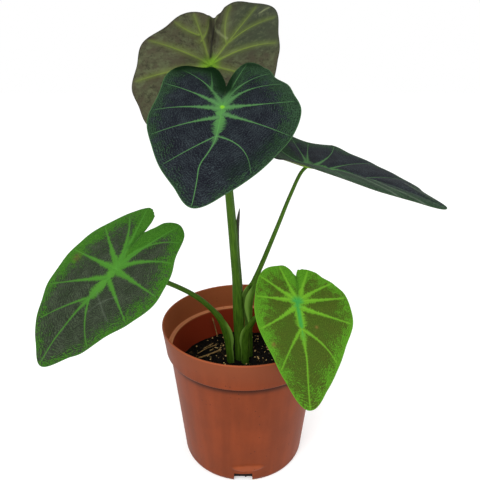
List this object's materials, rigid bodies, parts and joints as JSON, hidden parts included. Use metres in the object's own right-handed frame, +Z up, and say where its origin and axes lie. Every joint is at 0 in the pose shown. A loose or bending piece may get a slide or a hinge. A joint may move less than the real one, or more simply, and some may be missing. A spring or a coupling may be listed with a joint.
{
  "type": "potted elephant ear plant",
  "caption": "Young dark-leaved elephant ear: heart-shaped blades on arching stalks that rise from soil in a round thin-walled nursery pot.",
  "frame": {"origin": "centre of the pot's base, on the surface that the pot stands on", "axes": "+Z up; -Y towards the side that the lowest leaf leans over; +X towards the side of the leaf held level"},
  "size_m": [0.284, 0.1644, 0.3492],
  "materials": {
    "pot_plastic": "terracotta brown moulded polypropylene, satin",
    "peat_mix": "damp dark peat with pale grit and bark crumbs",
    "corm_skin": "brown papery tuber skin",
    "blade_underside": "olive brown leaf underside with raised yellow-green veins",
    "blade_dark": "blue-black leaf with pale green veins, satin",
    "blade_green": "green leaf with dark blotches between the veins, satin",
    "blade_bright": "bright yellow-green leaf with olive zones, satin",
    "stalk_green": "smooth waxy green stalk",
    "new_leaf_roll": "tightly rolled new leaf, dark purplish green at its tip"
  },
  "bodies": {
    "root": {"pot": "pot_plastic", "soil": "peat_mix", "corm": "corm_skin", "blade_back": "blade_underside", "blade_front": "blade_dark", "blade_right": "blade_dark", "blade_left": "blade_green", "blade_low": "blade_bright", "stalk_back": "stalk_green", "stalk_front": "stalk_green", "stalk_right": "stalk_green", "stalk_left": "stalk_green", "stalk_low": "stalk_green", "new_leaf": "new_leaf_roll"}
  },
  "joints": []
}
